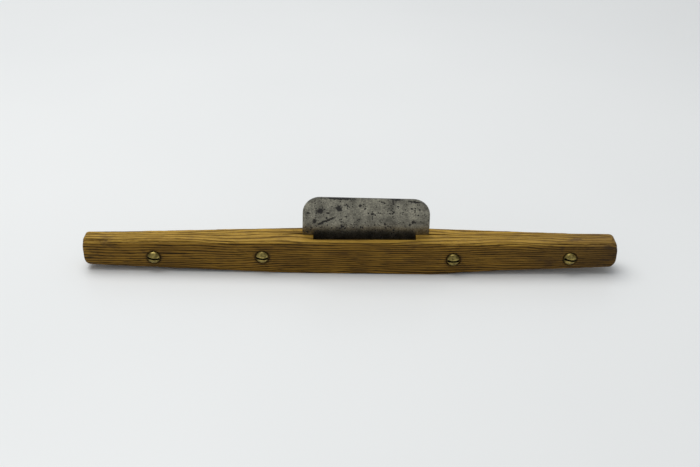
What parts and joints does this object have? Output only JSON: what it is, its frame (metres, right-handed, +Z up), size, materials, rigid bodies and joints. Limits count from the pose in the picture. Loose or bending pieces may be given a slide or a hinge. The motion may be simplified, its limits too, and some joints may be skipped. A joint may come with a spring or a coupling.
{
  "type": "scraper spokeshave",
  "caption": "Hand-made wooden scraper spokeshave: an oak stock split lengthwise clamps an upright steel scraper plate over an open throat, held by slotted round-head screws.",
  "frame": {"origin": "on the sole, at the middle of the stock's length, in the seam between the front and rear halves", "axes": "+X along the stock towards its right end, -Y towards the front face with the screw heads, +Z up from the sole along the blade"},
  "size_m": [0.291, 0.0193, 0.0423],
  "materials": {
    "oak_rear": "worn, oiled, open-grained oak, golden brown",
    "oak_front": "worn, oiled, open-grained oak with dark pores and hand grime",
    "blade_steel": "dull grey, finely pitted old steel with a few black spots",
    "screw_brass": "tarnished old brass, brighter on the crown"
  },
  "bodies": {
    "rear_half": {"rear_stock": "oak_rear"},
    "front_half": {"front_stock": "oak_front"},
    "blade": {"scraper_blade": "blade_steel"},
    "outer_left_screw": {"screw_outer_left": "screw_brass"},
    "inner_left_screw": {"screw_inner_left": "screw_brass"},
    "inner_right_screw": {"screw_inner_right": "screw_brass"},
    "outer_right_screw": {"screw_outer_right": "screw_brass"}
  },
  "joints": [
    {"name": "clamp_open", "type": "slide", "parent": "rear_half", "child": "front_half", "axis": [0, -1, 0], "range_m": [0, 0.0016]},
    {"name": "blade_set", "type": "slide", "parent": "rear_half", "child": "blade", "axis": [0, 0, 1], "range_m": [-0.0015, 0.0115]},
    {"name": "outer_left_turn", "type": "hinge", "parent": "front_half", "child": "outer_left_screw", "pos_m": [-0.107, -0.0065, 0.0088], "axis": [0, -1, 0], "range_deg": [0, 360]},
    {"name": "inner_left_turn", "type": "hinge", "parent": "front_half", "child": "inner_left_screw", "pos_m": [-0.0476, -0.0078, 0.01], "axis": [0, -1, 0], "range_deg": [0, 360]},
    {"name": "inner_right_turn", "type": "hinge", "parent": "front_half", "child": "inner_right_screw", "pos_m": [0.0564, -0.0087, 0.0095], "axis": [0, -1, 0], "range_deg": [0, 360]},
    {"name": "outer_right_turn", "type": "hinge", "parent": "front_half", "child": "outer_right_screw", "pos_m": [0.12, -0.0079, 0.01], "axis": [0, -1, 0], "range_deg": [0, 360]}
  ],
  "couplings": [
    {"joint": "outer_left_turn", "follows": "clamp_open", "rad_per_m": 3927},
    {"joint": "inner_left_turn", "follows": "clamp_open", "rad_per_m": 3927},
    {"joint": "inner_right_turn", "follows": "clamp_open", "rad_per_m": 3927},
    {"joint": "outer_right_turn", "follows": "clamp_open", "rad_per_m": 3927}
  ]
}
